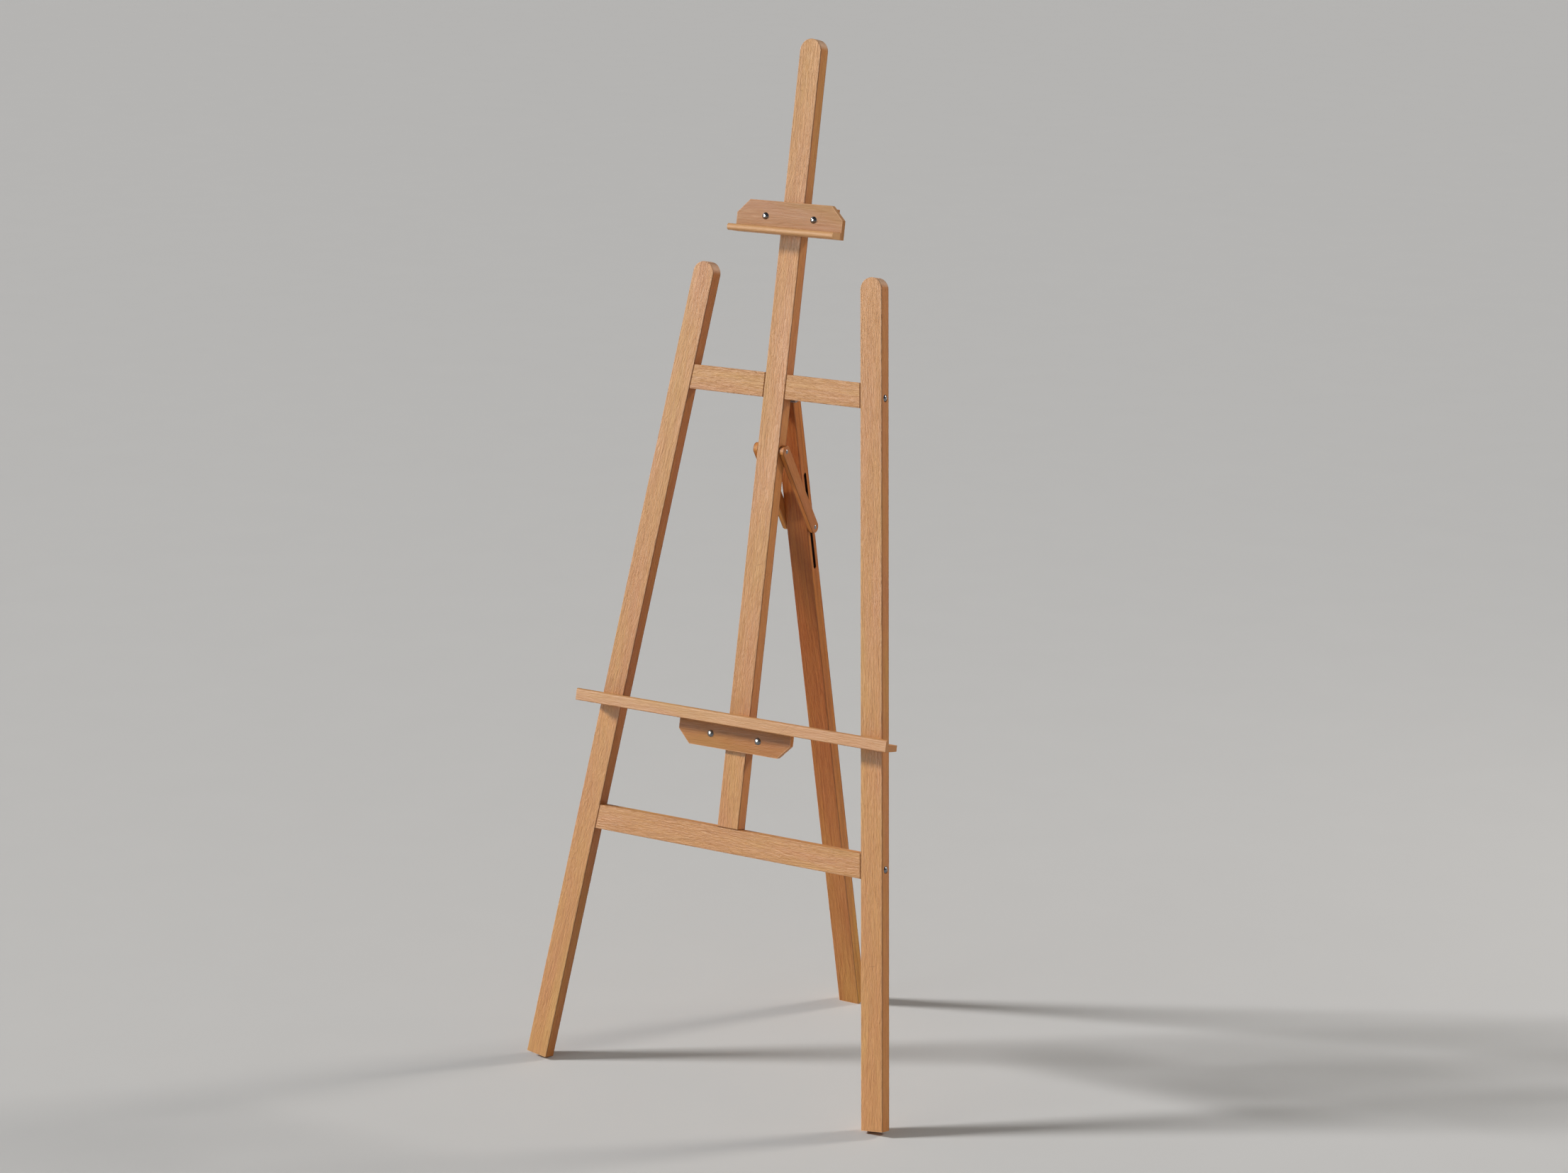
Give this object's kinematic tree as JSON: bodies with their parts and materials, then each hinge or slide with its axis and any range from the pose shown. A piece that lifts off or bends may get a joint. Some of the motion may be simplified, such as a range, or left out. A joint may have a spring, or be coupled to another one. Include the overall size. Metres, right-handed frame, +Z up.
{
  "type": "lyre studio easel",
  "caption": "Wooden studio easel: an A-frame front with a mast, a hinged rear leg held by link bars, a sliding shelf with a lip, and a sliding upper holder.",
  "frame": {"origin": "on the floor, at the middle of the bounding box's base, between the front feet and the rear foot", "axes": "+X to the right of a painter facing the front, +Y from the front towards the rear leg, +Z up"},
  "size_m": [0.7402, 0.544, 1.8068],
  "materials": {
    "beech_stock": "sanded, oiled",
    "beech_links": "sanded, oiled",
    "beech_boards": "sanded, oiled",
    "beech_dowel": "sanded, oiled",
    "zinc_steel": "satin"
  },
  "bodies": {
    "front_frame": {"front_leg_left": "beech_stock", "front_leg_right": "beech_stock", "upper_crossbar": "beech_stock", "lower_crossbar": "beech_stock", "mast": "beech_stock", "crossbar_dowels": "beech_dowel", "mast_foot_dowels": "beech_dowel", "crossbar_bolts": "zinc_steel", "crossbar_barrel_nuts": "zinc_steel", "mast_lap_screws": "zinc_steel", "hinge_frame_leaf": "zinc_steel", "hinge_frame_screws": "zinc_steel", "hinge_pin": "zinc_steel"},
    "back_leg": {"rear_leg": "beech_stock", "hinge_leg_leaf": "zinc_steel", "hinge_leg_screws": "zinc_steel"},
    "links": {"link_left": "beech_links", "link_right": "beech_links", "link_pivot_bolt": "zinc_steel", "link_pivot_nut": "zinc_steel", "link_slot_bolt": "zinc_steel"},
    "slot_nut": {"link_slot_nut": "zinc_steel"},
    "upper_clamp": {"upper_holder": "beech_boards", "upper_back_board": "beech_boards", "upper_bolts": "zinc_steel", "upper_washers": "zinc_steel"},
    "upper_nut_left": {"upper_wing_nut_left": "zinc_steel"},
    "upper_nut_right": {"upper_wing_nut_right": "zinc_steel"},
    "shelf": {"shelf_tray": "beech_boards", "shelf_clamp_board": "beech_boards", "shelf_back_board": "beech_boards", "shelf_tray_dowels": "beech_dowel", "shelf_bolts": "zinc_steel", "shelf_washers": "zinc_steel"},
    "shelf_nut_left": {"shelf_wing_nut_left": "zinc_steel"},
    "shelf_nut_right": {"shelf_wing_nut_right": "zinc_steel"}
  },
  "joints": [
    {"name": "back_leg_fold", "type": "hinge", "parent": "front_frame", "child": "back_leg", "pos_m": [0, 0.02659, 1.19341], "axis": [1, 0, 0], "range_deg": [-22.1, 16.9]},
    {"name": "links_swing", "type": "hinge", "parent": "front_frame", "child": "links", "pos_m": [0, -0.00825, 1.11006], "axis": [1, 0, 0], "range_deg": [-32.1, 24.6]},
    {"name": "upper_holder_slide", "type": "slide", "parent": "front_frame", "child": "upper_clamp", "axis": [0, 0.2215, 0.9751], "range_m": [-0.263, 0.25]},
    {"name": "shelf_slide", "type": "slide", "parent": "front_frame", "child": "shelf", "axis": [0, 0.2215, 0.9751], "range_m": [-0.155, 0.26]},
    {"name": "slot_nut_turn", "type": "hinge", "parent": "links", "child": "slot_nut", "pos_m": [-0.03155, 0.08552, 0.95524], "axis": [1, 0, 0], "range_deg": [0, 360]},
    {"name": "upper_nut_left_turn", "type": "hinge", "parent": "upper_clamp", "child": "upper_nut_left", "pos_m": [-0.0484, 0.10494, 1.49628], "axis": [0, -0.9751, 0.2215], "range_deg": [0, 360]},
    {"name": "upper_nut_right_turn", "type": "hinge", "parent": "upper_clamp", "child": "upper_nut_right", "pos_m": [0.0484, 0.10494, 1.49628], "axis": [0, -0.9751, 0.2215], "range_deg": [0, 360]},
    {"name": "shelf_nut_left_turn", "type": "hinge", "parent": "shelf", "child": "shelf_nut_left", "pos_m": [-0.0484, -0.09572, 0.61309], "axis": [0, -0.9751, 0.2215], "range_deg": [0, 360]},
    {"name": "shelf_nut_right_turn", "type": "hinge", "parent": "shelf", "child": "shelf_nut_right", "pos_m": [0.0484, -0.09572, 0.61309], "axis": [0, -0.9751, 0.2215], "range_deg": [0, 360]}
  ],
  "couplings": [
    {"joint": "links_swing", "follows": "back_leg_fold", "ratio": 1.45}
  ]
}
